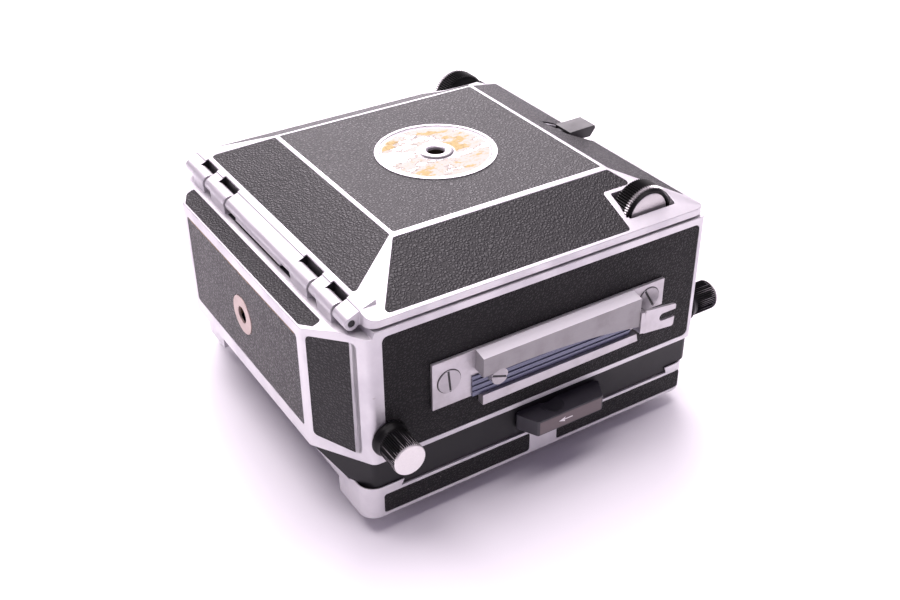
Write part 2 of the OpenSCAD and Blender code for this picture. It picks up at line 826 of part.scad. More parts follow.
module lock_knob_top_right() {
    mirror([0, 1, 0]) lock_knob_top_left();
}

module release_slide() {
    cx = 6.5;
    outline = [[cx - 18.6, -69.2], [cx - 14.1, -78], [cx + 14.1, -78], [cx + 18.6, -69.2]];
    color(black) {
        difference() {
            prism(rounded(outline, 1, 3), 21.4, 27.7);
            translate([cx - 4, -72, 33.2]) sphere(r = 7);
        }
        translate([cx - 8.5, -69.3, 23.2]) cube([17, 5.5, 2.6]);
    }
}

format_x = 30;
format_y = 43;

module revolving_ring() {
    color(black) difference() {
        union() {
            translate([0, 0, frame_z]) cylinder(h = 8.4, r = ring_r - fit);
            translate([0, 0, frame_z - 0.6]) cylinder(h = 0.6 - fit, r = ring_r + 1.5);
            translate([0, 0, frame_z - 0.6]) cylinder(h = 0.8, r = ring_r - fit);
        }
        prism(box_points(-format_x, format_x, -format_y, format_y), 0, 20);
    }
}

hood_ceiling = frame_z - 0.6;

module hood_body() {
    color(black) difference() {
        prism(rounded(box_points(-60, 61, -61.5, 61.5), 9, 6), 0, hood_ceiling);
        prism(box_points(-36, 36, -47, 47), -1, 5);
        prism(box_points(-format_x, format_x, -format_y, format_y), 4, 8);
    }
}

module ground_glass() {
    color("white") prism(box_points(-35.6, 35.6, -46.6, 46.6), 3.8, 5);
}

cover_hinge = [-34.3, 1.2];
leaf_y = 45;

module hood_cover() {
    color(black) {
        prism(rounded(box_points(-34, 34.6, -44.6, 44.6), 2), 0.6, 1.8);
        rod_y(cover_hinge[0], cover_hinge[1], 0.9, -44.6, 44.6);
    }
}

module hood_leaf_left() {
    height = 34;
    color(black) {
        prism([[-32.4, -leaf_y], [33, -leaf_y], [33, height - leaf_y], [1.6, height - leaf_y]], 2.1, 2.7);
        rod_x(-leaf_y, 2.7, 0.6, -32.4, 33);
    }
}

module hood_leaf_right() {
    mirror([0, 1, 0]) hood_leaf_left();
}

body_shell();
rear_housing();
leather_left();
leather_right();
leather_top();
leather_bottom();
leather_corners();
tripod_bush();
hinge_pin();
grip_plate();
grip_rail();
grip_groove();
grip_strip();
grip_fork();
grip_screws();
accessory_shoe();
bellows_frame();
bellows();
standard_foot();
standard_frame();
lens_board();
shutter_housing();
lens_barrel();
lens_glass();
speed_ring();
aperture_ring();
cocking_lever();
release_lever();
bed_shell();
bed_leather_centre();
bed_leather_left();
bed_leather_right();
bed_leather_bottom();
bed_leather_top();
tripod_disc();
bed_rails();
focus_track();
focus_shaft();
focus_wheel_left();
focus_wheel_right();
bed_latch();
track_lock();
strut_left();
strut_right();
back_frame();
back_leather();
back_posts();
lock_knob_left();
lock_knob_right();
lock_knob_top_left();
lock_knob_top_right();
release_slide();
revolving_ring();
ground_glass();
hood_body();
hood_cover();
hood_leaf_left();
hood_leaf_right();
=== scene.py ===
"""Looks for a folding press camera, closed and lying on its back."""

import json
import math
import random

import bmesh
import bpy
from mathutils import Matrix, Vector


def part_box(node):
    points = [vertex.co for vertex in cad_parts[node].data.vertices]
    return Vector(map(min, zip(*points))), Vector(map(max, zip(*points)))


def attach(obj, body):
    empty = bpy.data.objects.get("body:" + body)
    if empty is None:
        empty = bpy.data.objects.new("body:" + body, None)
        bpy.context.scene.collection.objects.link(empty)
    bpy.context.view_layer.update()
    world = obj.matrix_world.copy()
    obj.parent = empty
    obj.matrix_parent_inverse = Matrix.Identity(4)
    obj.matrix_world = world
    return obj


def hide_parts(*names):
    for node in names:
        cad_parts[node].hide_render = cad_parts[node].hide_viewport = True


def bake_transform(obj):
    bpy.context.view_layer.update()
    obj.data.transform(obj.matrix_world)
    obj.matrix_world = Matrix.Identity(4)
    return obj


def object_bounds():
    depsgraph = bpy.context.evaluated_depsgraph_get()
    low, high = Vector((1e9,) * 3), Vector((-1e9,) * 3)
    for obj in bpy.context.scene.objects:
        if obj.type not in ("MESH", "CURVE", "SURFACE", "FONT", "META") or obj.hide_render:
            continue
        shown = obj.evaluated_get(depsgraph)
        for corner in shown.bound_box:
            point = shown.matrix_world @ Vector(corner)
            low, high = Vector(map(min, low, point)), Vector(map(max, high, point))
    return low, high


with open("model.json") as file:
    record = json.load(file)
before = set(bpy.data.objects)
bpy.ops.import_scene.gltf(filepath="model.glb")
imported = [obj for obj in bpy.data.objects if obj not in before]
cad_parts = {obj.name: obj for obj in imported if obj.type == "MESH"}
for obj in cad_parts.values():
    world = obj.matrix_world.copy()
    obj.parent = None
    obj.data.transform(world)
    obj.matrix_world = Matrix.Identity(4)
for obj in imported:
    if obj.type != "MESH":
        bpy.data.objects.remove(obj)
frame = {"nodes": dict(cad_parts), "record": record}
cad_lo, cad_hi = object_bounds()

MM = 0.001
WELD = 1e-6                       # points closer than this, in metres, become one
FACE_PULL = math.radians(0.6)     # faces that differ by less become one flat face
SHARP = math.radians(32)          # edges over this stay sharp or get a bevel
FILM = 0.05                       # how proud a film of glue or of painted shade stands, in millimetres
body_of_node = {n: body for body, nodes in frame["record"]["behaviour"]["bodies"].items() for n in nodes}
slot_of_node = {s["node"]: s["material_slot"] for s in frame["record"]["subparts"]}
random.seed(7)


# ---------------------------------------------------------------- materials

SOCKETS = {
    "color": "Base Color", "metal": "Metallic", "rough": "Roughness", "ior": "IOR", "coat": "Coat Weight",
    "coat_rough": "Coat Roughness", "sheen": "Sheen Weight", "specular": "Specular IOR Level",
    "clear": "Transmission Weight",
}


class Surface:
    """A material with a Principled shader, and short ways to add the nodes that feed it."""

    def __init__(self, name, **values):
        self.material = bpy.data.materials.new(name)
        self.material.use_nodes = True
        self.tree = self.material.node_tree
        self.shader = self.tree.nodes["Principled BSDF"]
        self.coords = self.add("ShaderNodeTexCoord").outputs["Object"]
        for key, value in values.items():
            socket = self.shader.inputs[SOCKETS[key]]
            socket.default_value = (*value, 1) if isinstance(value, tuple) else value

    def add(self, kind, **settings):
        """A new node of the given kind."""
        node = self.tree.nodes.new(kind)
        for key, value in settings.items():
            setattr(node, key, value)
        return node

    def put(self, value, socket):
        """Links an output into a socket, or sets the socket to a plain value."""
        if isinstance(value, bpy.types.NodeSocket):
            self.tree.links.new(value, socket)
        else:
            socket.default_value = (*value, 1) if isinstance(value, tuple) and len(value) == 3 \
                and socket.type == "RGBA" else value

    def stretched(self, scale):
        """Coordinates scaled by a different number along each axis."""
        node = self.add("ShaderNodeMapping")
        self.put(self.coords, node.inputs["Vector"])
        node.inputs["Scale"].default_value = scale
        return node.outputs["Vector"]

    def noise(self, scale, detail=2.0, rough=0.5, coords=None):
        """Noise whose features are about 1 / scale metres wide."""
        node = self.add("ShaderNodeTexNoise")
        self.put(coords or self.coords, node.inputs["Vector"])
        node.inputs["Scale"].default_value = scale
        node.inputs["Detail"].default_value = detail
        node.inputs["Roughness"].default_value = rough
        return node.outputs["Fac"]

    def cells(self, scale, coords):
        """How far a point is from the edge of its Voronoi cell."""
        node = self.add("ShaderNodeTexVoronoi", feature="DISTANCE_TO_EDGE")
        self.put(coords, node.inputs["Vector"])
        node.inputs["Scale"].default_value = scale
        return node.outputs["Distance"]

    def ramp(self, value, low, high, at_low=0.0, at_high=1.0):
        """Maps low..high of a value onto at_low..at_high, and holds it beyond them."""
        node = self.add("ShaderNodeMapRange", interpolation_type="SMOOTHSTEP")
        self.put(value, node.inputs["Value"])
        for key, number in (("From Min", low), ("From Max", high), ("To Min", at_low), ("To Max", at_high)):
            node.inputs[key].default_value = number
        return node.outputs["Result"]

    def math(self, operation, a, b=0.0):
        """One arithmetic operation on one or two values."""
        node = self.add("ShaderNodeMath", operation=operation)
        self.put(a, node.inputs[0])
        self.put(b, node.inputs[1])
        return node.outputs["Value"]

    def mix(self, fac, a, b):
        """Colour a where fac is 0, colour b where it is 1."""
        node = self.add("ShaderNodeMix", data_type="RGBA")
        self.put(fac, node.inputs["Factor"])
        self.put(a, node.inputs["A"])
        self.put(b, node.inputs["B"])
        return node.outputs["Result"]

    def warped(self, amount, scale):
        """Coordinates pushed about by noise, so that cells don't look regular."""
        cloud = self.add("ShaderNodeTexNoise")
        self.put(self.coords, cloud.inputs["Vector"])
        cloud.inputs["Scale"].default_value = scale
        shift = self.add("ShaderNodeVectorMath", operation="MULTIPLY_ADD")
        self.put(cloud.outputs["Color"], shift.inputs[0])
        shift.inputs[1].default_value = (amount, amount, amount)
        self.put(self.coords, shift.inputs[2])
        return shift.outputs["Vector"]

    def part(self, axis):
        """One coordinate of the point, in metres."""
        node = self.add("ShaderNodeSeparateXYZ")
        self.put(self.coords, node.inputs["Vector"])
        return node.outputs[axis]

    def mask(self, name):
        """A number stored on the mesh's vertices."""
        return self.add("ShaderNodeAttribute", attribute_name=name).outputs["Fac"]

    def feed(self, key, value):
        """Links an output into one of the shader's sockets."""
        self.put(value, self.shader.inputs[SOCKETS[key]])

    def bump(self, height, distance, strength):
        """Relief from a height of 0 to 1, where 1 stands the given distance proud."""
        node = self.add("ShaderNodeBump")
        node.inputs["Distance"].default_value = distance
        node.inputs["Strength"].default_value = strength
        self.put(height, node.inputs["Height"])
        self.put(node.outputs["Normal"], self.shader.inputs["Normal"])


def satin_alloy():
    """Satin chrome: a fine even blast, faint smudges and a few dirt specks."""
    s = Surface("satin_alloy", metal=0.78)
    smudge = s.ramp(s.noise(70, 4, 0.6), 0.35, 0.7)
    speck = s.ramp(s.noise(420, 3, 0.7), 0.72, 0.78)
    clean = s.mix(smudge, (0.68, 0.665, 0.68), (0.62, 0.605, 0.63))
    s.feed("color", s.mix(s.math("MULTIPLY", speck, 0.5), clean, (0.34, 0.3, 0.27)))
    s.feed("rough", s.ramp(smudge, 0, 1, 0.46, 0.56))
    s.bump(s.noise(5200, 2, 0.6), 0.02 * MM, 0.5)
    return s.material


def brushed_alloy(name="brushed_alloy", shade=1.0, metal=0.75, rough=(0.38, 0.52), tint=(1, 1, 1)):
    """Aluminium brushed along X, with handling marks."""
    s = Surface(name, metal=metal)
    lines = s.noise(1, 4, 0.65, s.stretched((60, 3200, 3200)))
    patch = s.ramp(s.noise(120, 4, 0.62), 0.4, 0.72)
    dark, light, dull = (tuple(c * shade * k for c, k in zip(t, tint))
                         for t in ((0.5, 0.48, 0.5), (0.64, 0.62, 0.64), (0.36, 0.34, 0.34)))
    s.feed("color", s.mix(s.math("MULTIPLY", patch, 0.45), s.mix(lines, dark, light), dull))
    s.feed("rough", s.ramp(lines, 0.3, 0.7, *rough))
    s.bump(lines, 0.02 * MM, 0.5)
    return s.material


def rail_alloy():
    """The grip rail: dull brushed metal, with painted light that makes its upward faces paler and less
    metallic.
    """
    s = Surface("rail_alloy", metal=0.3)
    facing = s.add("ShaderNodeSeparateXYZ")
    s.put(s.add("ShaderNodeNewGeometry").outputs["Normal"], facing.inputs["Vector"])
    # painted light: the more a face turns up, the paler it is painted, for the light from above
    painted_top_light = s.ramp(facing.outputs["Z"], 0.5, 0.9)
    lines = s.noise(1, 4, 0.65, s.stretched((60, 3200, 3200)))
    patch = s.ramp(s.noise(120, 4, 0.62), 0.4, 0.72)
    dull = s.mix(s.math("MULTIPLY", patch, 0.5), s.mix(lines, (0.31, 0.3, 0.305), (0.41, 0.4, 0.405)),
                 (0.24, 0.23, 0.225))
    s.feed("color", s.mix(painted_top_light, dull, (0.86, 0.85, 0.86)))
    s.feed("metal", s.ramp(painted_top_light, 0, 1, 0.35, 0.05))
    s.feed("rough", s.ramp(lines, 0.3, 0.7, 0.48, 0.6))
    s.bump(lines, 0.02 * MM, 0.5)
    return s.material


def bright_steel():
    """Polished steel with fine wear."""
    s = Surface("bright_steel", metal=1.0)
    wear = s.noise(260, 4, 0.6)
    s.feed("color", s.mix(wear, (0.6, 0.59, 0.61), (0.78, 0.77, 0.79)))
    s.feed("rough", s.ramp(wear, 0.3, 0.7, 0.2, 0.34))
    s.bump(s.noise(3800, 2), 0.01 * MM, 0.5)
    return s.material


def leatherette(name="leatherette", worn=0.0, specular=0.5):
    """Pebbled leatherette: rounded grains about a millimetre wide, with dust and paler worn tops."""
    s = Surface(name, specular=specular)
    grain = s.cells(880, s.warped(1.5 * MM, 420))
    pebble = s.ramp(grain, 0.0, 0.34)
    fine = s.noise(3600, 2, 0.6)
    cloud = s.ramp(s.noise(38, 4, 0.6), 0.35, 0.7)
    speck = s.ramp(s.noise(900, 1, 0.5), 0.79, 0.83)

    def paled(fresh, gain):
        """A colour of fresh leather, made paler by wear."""
        return tuple(a + b * worn for a, b in zip(fresh, gain))

    low = paled((0.003, 0.0028, 0.003), (0.033, 0.031, 0.03))
    high = paled((0.011, 0.0104, 0.011), (0.11, 0.104, 0.104))
    dust = paled((0.03, 0.028, 0.028), (0.14, 0.13, 0.12))
    dusty = s.mix(s.math("MULTIPLY", cloud, 0.2), s.mix(pebble, low, high), dust)
    s.feed("color", s.mix(s.math("MULTIPLY", speck, 0.6), dusty, (0.34, 0.32, 0.31)))
    s.feed("rough", s.ramp(pebble, 0, 1, 0.62, 0.42))
    height = s.math("ADD", s.math("MULTIPLY", pebble, 1.0), s.math("MULTIPLY", fine, 0.22))
    s.bump(height, 0.16 * MM, 0.85)
    return s.material


def black_paint():
    """Plain black paint, slightly uneven in gloss."""
    s = Surface("black_paint", specular=0.5)
    cloud = s.noise(90, 4, 0.6)
    s.feed("color", s.mix(cloud, (0.012, 0.012, 0.013), (0.022, 0.021, 0.023)))
    s.feed("rough", s.ramp(cloud, 0.3, 0.7, 0.34, 0.5))
    s.bump(s.noise(2600, 2), 0.02 * MM, 0.5)
    return s.material


def housing_band():
    """Smooth satin black of the body's rear band."""
    s = Surface("housing_band", specular=0.3)
    cloud = s.noise(60, 4, 0.6)
    s.feed("color", s.mix(cloud, (0.007, 0.0068, 0.008), (0.012, 0.0115, 0.0135)))
    s.feed("rough", s.ramp(cloud, 0.3, 0.7, 0.36, 0.5))
    s.bump(s.noise(1700, 2), 0.02 * MM, 0.4)
    return s.material


def black_anodised():
    """Black knurled metal; the attribute "wear" holds where the tips are worn bright."""
    s = Surface("black_anodised", specular=0.16)
    chips = s.ramp(s.noise(1500, 3, 0.6), 0.28, 0.5)
    worn = s.math("MULTIPLY", s.mask("wear"), chips)
    s.feed("color", s.mix(worn, (0.0045, 0.0044, 0.0044), (0.62, 0.6, 0.6)))
    s.feed("metal", worn)
    s.feed("rough", s.ramp(worn, 0, 1, 0.36, 0.34))
    s.bump(s.noise(2600, 2), 0.015 * MM, 0.5)
    return s.material


def black_plastic():
    """Moulded plastic, a little blue."""
    s = Surface("black_plastic", specular=0.5)
    cloud = s.noise(200, 3)
    s.feed("color", s.mix(cloud, (0.034, 0.0335, 0.04), (0.05, 0.049, 0.056)))
    s.feed("rough", s.ramp(cloud, 0.3, 0.7, 0.3, 0.42))
    s.bump(s.noise(2200, 2), 0.02 * MM, 0.4)
    return s.material


def label_plate():
    """The release slide's face: thin grey-brown plate, faintly brushed."""
    s = Surface("label_plate", metal=0.35)
    lines = s.noise(1, 3, 0.6, s.stretched((120, 2400, 2400)))
    s.feed("color", s.mix(lines, (0.13, 0.105, 0.108), (0.19, 0.155, 0.158)))
    s.feed("rough", s.ramp(lines, 0.3, 0.7, 0.38, 0.5))
    s.bump(lines, 0.01 * MM, 0.4)
    return s.material


def white_fill():
    """The paint of the arrow on the release slide."""
    s = Surface("white_fill")
    cloud = s.noise(900, 3)
    s.feed("color", s.mix(cloud, (0.74, 0.73, 0.72), (0.86, 0.85, 0.84)))
    s.feed("rough", s.ramp(cloud, 0.3, 0.7, 0.5, 0.62))
    return s.material


def groove_plastic():
    """The glossy blue-grey liner under the grip rail."""
    s = Surface("groove_plastic", metal=0.55, coat=0.4, coat_rough=0.2)
    lines = s.noise(1, 3, 0.6, s.stretched((40, 1400, 1400)))
    s.feed("color", s.mix(lines, (0.075, 0.085, 0.14), (0.17, 0.18, 0.26)))
    s.feed("rough", s.ramp(lines, 0.3, 0.7, 0.22, 0.34))
    s.bump(lines, 0.02 * MM, 0.5)
    return s.material


def disc_face():
    """The tripod disc: bright metal under torn cream and ochre glue, with its rim left clean, and painted
    shade in the steps at its rim and round its hole.
    """
    s = Surface("disc_face", metal=0.85)
    x, y = s.part("X"), s.part("Y")
    radius = s.math("SQRT", s.math("ADD", s.math("MULTIPLY", x, x), s.math("MULTIPLY", y, y)))

    def band(inner, outer, edge):
        """One between two radii, fading over the given width; all in millimetres."""
        return s.math("MULTIPLY", s.ramp(radius, inner * MM, (inner + edge) * MM),
                      s.ramp(radius, outer * MM, (outer - edge) * MM))

    ring = band(6.6, 20.2, 0.9)          # where the glue was
    rim_step_shade = band(20.0, 20.6, 0.15)    # painted shade of the step inside the rim
    hole_step_shade = band(5.2, 6.9, 0.5)      # painted shade of the step round the hole, on its far side only
    torn = s.noise(1, 6, 0.62, s.stretched((62, 120, 90)))
    film = s.math("MULTIPLY", s.ramp(torn, 0.43, 0.46), ring)
    torn_edge = s.math("MULTIPLY", s.ramp(torn, 0.425, 0.442), s.ramp(torn, 0.465, 0.447))
    tear = s.math("MULTIPLY", torn_edge, ring)
    thick = s.math("MULTIPLY", s.ramp(s.noise(1, 5, 0.6, s.stretched((70, 130, 90))), 0.535, 0.575), ring)
    crumbs = s.ramp(s.noise(900, 3, 0.6), 0.52, 0.66)
    bare = s.mix(s.noise(300, 4), (0.6, 0.58, 0.6), (0.7, 0.68, 0.7))
    cream = s.mix(crumbs, (0.4, 0.37, 0.31), (0.36, 0.29, 0.16))
    ochre = s.mix(crumbs, (0.4, 0.29, 0.1), (0.27, 0.175, 0.05))
    glued = s.mix(thick, s.mix(s.math("MULTIPLY", film, 0.85), bare, cream), ochre)
    marked = s.mix(s.math("MULTIPLY", tear, 0.8), glued, (0.09, 0.06, 0.035))
    # painted shade: the steps at the rim and round the hole are darkened, the one round the hole only on
    # its far side
    step_shade = s.math("MAXIMUM", rim_step_shade, s.math("MULTIPLY", hole_step_shade, s.ramp(y, MM, -3 * MM)))
    s.feed("color", s.mix(s.math("MULTIPLY", step_shade, 0.75), marked, (0.1, 0.095, 0.1)))
    glue_and_step_shade = s.math("MAXIMUM", s.math("MAXIMUM", film, thick), step_shade)
    s.feed("metal", s.ramp(glue_and_step_shade, 0, 1, 0.75, 0.05))
    s.feed("rough", s.ramp(glue_and_step_shade, 0, 1, 0.4, 0.65))
    s.bump(s.math("ADD", film, thick), 0.06 * MM, 0.8)
    return s.material


def glue_line():
    """The tan line of old glue at the edge of the bottom leather."""
    s = Surface("glue_line")
    cloud = s.noise(500, 4, 0.65)
    s.feed("color", s.mix(cloud, (0.12, 0.07, 0.03), (0.34, 0.22, 0.11)))
    s.feed("rough", s.ramp(cloud, 0.3, 0.7, 0.5, 0.8))
    s.bump(cloud, 0.08 * MM, 0.8)
    return s.material


def thread_metal(name, dark, light):
    """Tarnished metal of a tripod socket's thread, or, with near-black colours, painted shade deep in the
    socket.
    """
    s = Surface(name, metal=0.8)
    wear = s.noise(700, 4, 0.6)
    s.feed("color", s.mix(wear, dark, light))
    s.feed("rough", s.ramp(wear, 0.3, 0.7, 0.3, 0.5))
    s.bump(wear, 0.02 * MM, 0.5)
    return s.material


def scratched_cap():
    """A lock knob's bright end: bare metal with scuffs running every way."""
    s = Surface("scratched_cap", metal=0.8)
    scuff = s.noise(1, 5, 0.7, s.stretched((1400, 500, 2600)))
    s.feed("color", s.mix(scuff, (0.66, 0.63, 0.62), (0.9, 0.88, 0.87)))
    s.feed("rough", s.ramp(scuff, 0.3, 0.7, 0.3, 0.52))
    s.bump(scuff, 0.05 * MM, 0.7)
    return s.material


def bellows_cloth():
    """Black pleated cloth."""
    s = Surface("bellows_cloth", sheen=0.2)
    weave = s.noise(1900, 2, 0.5)
    s.feed("color", s.mix(weave, (0.008, 0.008, 0.009), (0.018, 0.018, 0.019)))
    s.feed("rough", s.ramp(weave, 0.3, 0.7, 0.6, 0.78))
    s.bump(weave, 0.05 * MM, 0.6)
    return s.material


def lens_glass():
    """Coated lens glass with a faint blue and magenta tint."""
    s = Surface("lens_glass", clear=0.85, ior=1.52, coat=1.0, coat_rough=0.02)
    tint = s.noise(30, 1)
    s.feed("color", s.mix(tint, (0.55, 0.6, 0.85), (0.75, 0.62, 0.8)))
    s.feed("rough", s.ramp(tint, 0, 1, 0.02, 0.05))
    return s.material


def ground_glass():
    """The focusing screen, ground on one side."""
    s = Surface("ground_glass", clear=0.55, ior=1.5)
    grind = s.noise(4200, 2)
    s.feed("color", s.mix(grind, (0.78, 0.82, 0.8), (0.88, 0.9, 0.89)))
    s.feed("rough", s.ramp(grind, 0.3, 0.7, 0.42, 0.56))
    s.bump(grind, 0.01 * MM, 0.5)
    return s.material


MATERIALS = {
    "satin_alloy": satin_alloy(), "brushed_alloy": brushed_alloy(), "bright_steel": bright_steel(),
    "leatherette": leatherette(), "black_paint": black_paint(), "black_anodised": black_anodised(),
    "black_plastic": black_plastic(), "groove_plastic": groove_plastic(), "bellows_cloth": bellows_cloth(),
    "lens_glass": lens_glass(), "ground_glass": ground_glass(),
}
WORN_LEATHER = leatherette("worn_leatherette", 0.6)
DULL_LEATHER = leatherette("dull_leatherette", 0.0, 0.24)
RAIL = rail_alloy()
SCREW = brushed_alloy("screw_alloy", 0.86, 0.6, (0.42, 0.55))
BUSH = brushed_alloy("bush_alloy", 0.9, 0.6, (0.4, 0.5), (1.0, 0.82, 0.72))
BAND = housing_band()
DISC = disc_face()
GLUE = glue_line()
BROWN_THREAD = thread_metal("brown_thread", (0.2, 0.13, 0.07), (0.42, 0.3, 0.19))
# painted shade: the bed's socket thread is near black, for the shade deep in the hole
THREAD_PAINTED_SHADE = thread_metal("thread_painted_shade", (0.05, 0.04, 0.03), (0.12, 0.1, 0.08))
CAP = scratched_cap()
LABEL = label_plate()
WHITE = white_fill()


# ---------------------------------------------------------------- mesh helpers

def finish_mesh(bm, name, material, sharp=SHARP):
    """Turns a bmesh into a shaded object with one material."""
    bmesh.ops.recalc_face_normals(bm, faces=bm.faces)
    mesh = bpy.data.meshes.new(name)
    bm.to_mesh(mesh)
    bm.free()
    mesh.shade_smooth()
    mesh.set_sharp_from_angle(angle=sharp)
    obj = bpy.data.objects.new(name, mesh)
    bpy.context.scene.collection.objects.link(obj)
    mesh.materials.append(material)
    return obj


def place(bm, name, material, body, slot, replaces=()):
    """Makes a rigid piece of a bmesh, on a body, in place of CAD nodes if any are named; the slot is not
    used.
    """
    obj = finish_mesh(bm, name, material)
    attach(obj, body)
    if replaces:
        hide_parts(*replaces)
    return obj


def welded(node):
    """A CAD node's shape with its points joined and its flat faces merged."""
    bm = bmesh.new()
    bm.from_mesh(frame["nodes"][node].data)
    bmesh.ops.remove_doubles(bm, verts=bm.verts, dist=WELD)
    bmesh.ops.dissolve_limit(bm, angle_limit=FACE_PULL, verts=bm.verts, edges=bm.edges)
    return bm


def edges_over(bm, angle, room):
    """Edges sharper than an angle that have room for a bevel: no stub of an edge at either end."""
    tight = {v for e in bm.edges if e.calc_length() < room for v in e.verts}
    return [e for e in bm.edges if len(e.link_faces) == 2 and e.calc_face_angle(0) > angle
            and not (e.verts[0] in tight or e.verts[1] in tight)]


def dressed(node, width, material=None):
    """A CAD node with its sharp edges broken, so that they catch the light as real ones do."""
    bm = welded(node)
    bmesh.ops.bevel(bm, geom=edges_over(bm, SHARP, width), offset=width, offset_type="OFFSET",
                    segments=2, profile=0.5, affect="EDGES", clamp_overlap=False)
    slot = slot_of_node[node]
    obj = place(bm, "trim." + node, material or MATERIALS[slot], body_of_node[node], slot, [node])
    even = obj.modifiers.new("even", "WEIGHTED_NORMAL")
    even.keep_sharp = True


def frame_to(origin, axis):
    """A matrix that takes +Z at the origin to axis at the given point."""
    turn = Vector((0, 0, 1)).rotation_difference(Vector(axis)).to_matrix().to_4x4()
    return Matrix.Translation(Vector(origin)) @ turn


def lathe(profile, around, sides, wave=None):
    """Turns a profile of (radius, height) about an axis. wave(angle, i) scales the radius of point i."""
    bm = bmesh.new()
    rings = []
    for i, (radius, height) in enumerate(profile):
        if radius == 0:
            rings.append([bm.verts.new(around @ Vector((0, 0, height)))])
            continue
        ring = []
        for k in range(sides):
            a = 2 * math.pi * k / sides
            r = radius * (wave(k, i) if wave else 1)
            ring.append(bm.verts.new(around @ Vector((r * math.cos(a), r * math.sin(a), height))))
        rings.append(ring)
    for one, two in zip(rings, rings[1:]):
        for k in range(sides):
            a, b = one[k % len(one)], one[(k + 1) % len(one)]
            c, d = two[(k + 1) % len(two)], two[k % len(two)]
            corners = list(dict.fromkeys((a, b, c, d)))
            if len(corners) > 2:
                bm.faces.new(corners)
    return bm


def slab(outline, around, thick):
    """An outline in a plane, made into a plate."""
    bm = bmesh.new()
    low = [bm.verts.new(around @ Vector((x, y, 0))) for x, y in outline]
    high = [bm.verts.new(around @ Vector((x, y, thick))) for x, y in outline]
    bm.faces.new(low[::-1])
    bm.faces.new(high)
    for k in range(len(low)):
        n = (k + 1) % len(low)
        bm.faces.new((low[k], low[n], high[n], high[k]))
    return bm


def join(*meshes):
    """Puts several bmeshes into the first one."""
    target = meshes[0]
    for other in meshes[1:]:
        holder = bpy.data.meshes.new("join")
        other.to_mesh(holder)
        target.from_mesh(holder)
        other.free()
        bpy.data.meshes.remove(holder)
    return target


def block(lo, hi):
    """A box between two corners given in millimetres."""
    bm = bmesh.new()
    bmesh.ops.create_cube(bm, size=1)
    for v in bm.verts:
        v.co = Vector([((lo[i] + hi[i]) / 2 + v.co[i] * (hi[i] - lo[i])) * MM for i in range(3)])
    return bm


# ---------------------------------------------------------------- CAD nodes with broken edges

# nodes that get a piece of their own further down
SPECIAL = {"bellows", "lock_knob_left", "lock_knob_right", "lock_knob_top_left", "lock_knob_top_right",
           "focus_wheel_left", "focus_wheel_right"}
# width of the bevel by slot
SOFT_EDGES = {"leatherette": 0.22 * MM, "satin_alloy": 0.16 * MM, "brushed_alloy": 0.14 * MM,
              "black_plastic": 0.3 * MM, "black_paint": 0.16 * MM, "black_anodised": 0.15 * MM,
              "bright_steel": 0.1 * MM, "groove_plastic": 0.08 * MM, "lens_glass": 0.1 * MM,
              "ground_glass": 0.1 * MM}
# nodes whose material isn't the usual one of their slot
OWN_LOOK = {"grip_rail": RAIL, "grip_screws": SCREW, "tripod_bush": BUSH, "rear_housing": BAND,
            "leather_bottom": WORN_LEATHER, "leather_left": DULL_LEATHER, "leather_right": DULL_LEATHER,
            "back_leather": DULL_LEATHER, "tripod_disc": DISC, "hinge_pin": MATERIALS["black_paint"]}
for node in frame["nodes"]:
    if node not in SPECIAL:
        dressed(node, SOFT_EDGES[slot_of_node[node]], OWN_LOOK.get(node))


# ---------------------------------------------------------------- knobs and wheels

def set_wear(obj, worn):
    """Stores how far each vertex is worn bright, from a function of its place."""
    layer = obj.data.attributes.new("wear", "FLOAT", "POINT")
    layer.data.foreach_set("value", [worn(v.co) for v in obj.data.vertices])


PER_RIB = 6    # points of a turn for each rib of a knurl


def knurling(ribbed, depth):
    """A wave for lathe(): ribs of the given depth on the points of a profile that are ribbed."""
    def wave(k, i):
        phase = abs((k % PER_RIB) / PER_RIB * 2 - 1)
        return 1 - depth * (1 - phase) if i in ribbed else 1

    return wave


